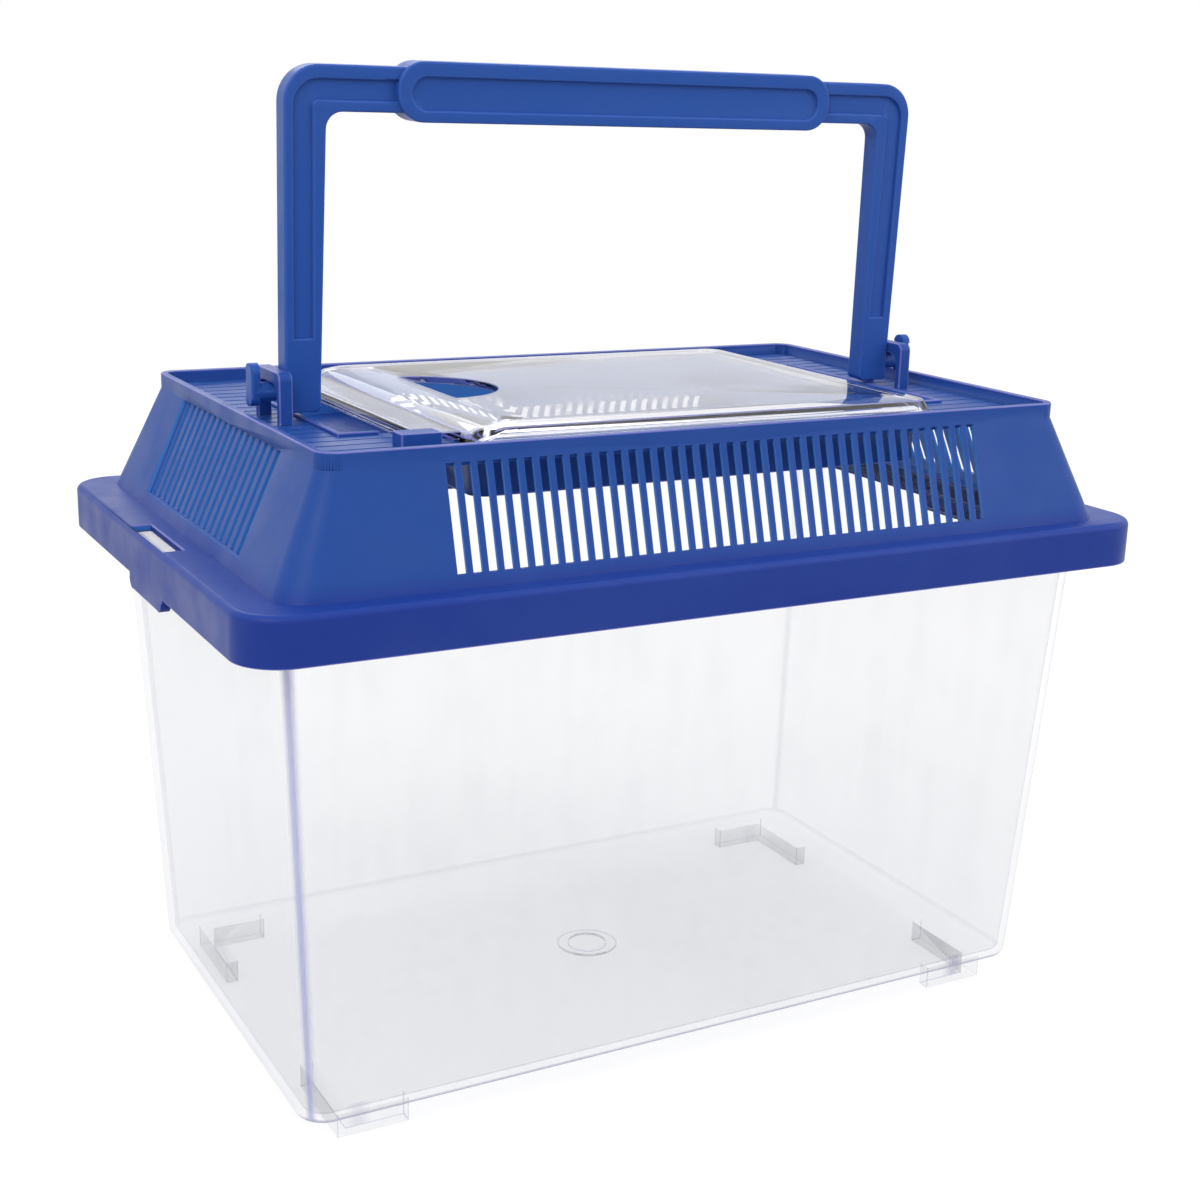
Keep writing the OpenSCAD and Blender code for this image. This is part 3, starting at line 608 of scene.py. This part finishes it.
deck_ribs = bpy.data.objects.new("deck_ribs", bpy.data.meshes.new("deck_ribs"))
bpy.context.scene.collection.objects.link(deck_ribs)
growth = deck_ribs.modifiers.new("ribs", "NODES")
growth.node_group = ribs_tree
growth[rib_inputs["Plastic"]] = lid_blue
take_modifiers(deck_ribs)
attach(deck_ribs, "lid")


# ---------------------------------------------------------------------------
# Hatch. A thin clear moulding with a raised panel, a round shoulder on the
# hinge side and a half-round feeding hole. Its rod snaps between the posts.
HATCH_EDGE = 0.0004
HATCH_TINT = (0.87, 0.87, 0.90, 1)
# A dark blue film on the hatch's rounded edges: painted shade, for the blue lid and shaded inside
# that such edges bend into view.
HATCH_EDGE_SHADE_FILM = (0.22, 0.25, 0.55, 1)
HATCH_DEPTH_TINT = (0.62, 0.66, 0.93, 1)
HATCH_DEPTH = 30.0
HATCH_ROUGHNESS = (0.01, 0.10)


def clear_refracting(name, tint, roughness):
    """Thick clear plastic: it bends what lies behind it, and lamps shine through it."""
    material = bpy.data.materials.new(name)
    material.use_nodes = True
    tree = material.node_tree
    glass = tree.nodes["Principled BSDF"]
    glass.inputs["Base Color"].default_value = tint
    glass.inputs["IOR"].default_value = CLEAR_IOR
    glass.inputs["Transmission Weight"].default_value = 1.0
    low, high = roughness
    used = place_group(tree, marks, Roughness_Low=low, Roughness_High=high, Wave_Height=CLEAR_WAVE)
    link(tree, used["Roughness"], glass.inputs["Roughness"])
    link(tree, used["Normal"], glass.inputs["Normal"])
    see_through = add_node(tree, "ShaderNodeBsdfTransparent", Color=tint)
    path = tree.nodes.new("ShaderNodeLightPath")
    plain = math_node(tree, "MAXIMUM", path.outputs["Is Shadow Ray"], path.outputs["Is Diffuse Ray"])
    out = tree.nodes["Material Output"]
    plastic = mixed_shader(tree, plain, glass.outputs[0], see_through.outputs[0])
    link(tree, plastic, out.inputs["Surface"])
    depth = add_node(
        tree, "ShaderNodeVolumeAbsorption", Color=HATCH_DEPTH_TINT, Density=HATCH_DEPTH
    )
    link(tree, depth.outputs[0], out.inputs["Volume"])
    return material


hatch = moulded_copy(
    "hatch", "clear_hatch",
    (clear_refracting("clear_hatch_plastic", HATCH_TINT, HATCH_ROUGHNESS),
     clear_plastic(
        "clear_hatch_edge_shade", HATCH_TINT, HATCH_EDGE_SHADE_FILM, plain=0.55, slant=0.2, corner=0.1
    )),
    HATCH_EDGE,
)
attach(hatch, "hatch")
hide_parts("hatch")


# ---------------------------------------------------------------------------
# Handle. A blue moulding with channelled legs and bar, a thicker grip with a
# round-ended recess, and two pins with key-shaped heads.
HANDLE_EDGE = 0.0006
HANDLE_SHORT_FACET = 0.0004
HANDLE_BLUE = (0.023, 0.090, 0.380, 1)
# A slightly paler blue for the handle's rounded edges: painted highlight.
HANDLE_EDGE_HIGHLIGHT_BLUE = (0.034, 0.105, 0.400, 1)

handle = moulded_copy(
    "handle", "blue_handle",
    (blue_plastic("blue_handle_polypropylene", HANDLE_BLUE, HANDLE_BLUE, BLUE_WORN, 0.0),
     blue_plastic("blue_handle_edge_highlight", HANDLE_EDGE_HIGHLIGHT_BLUE, HANDLE_EDGE_HIGHLIGHT_BLUE, BLUE_WORN, 0.0)),
    HANDLE_EDGE, steps=3, crisp=lambda place, length: length < HANDLE_SHORT_FACET,
)
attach(handle, "handle")
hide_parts("handle")
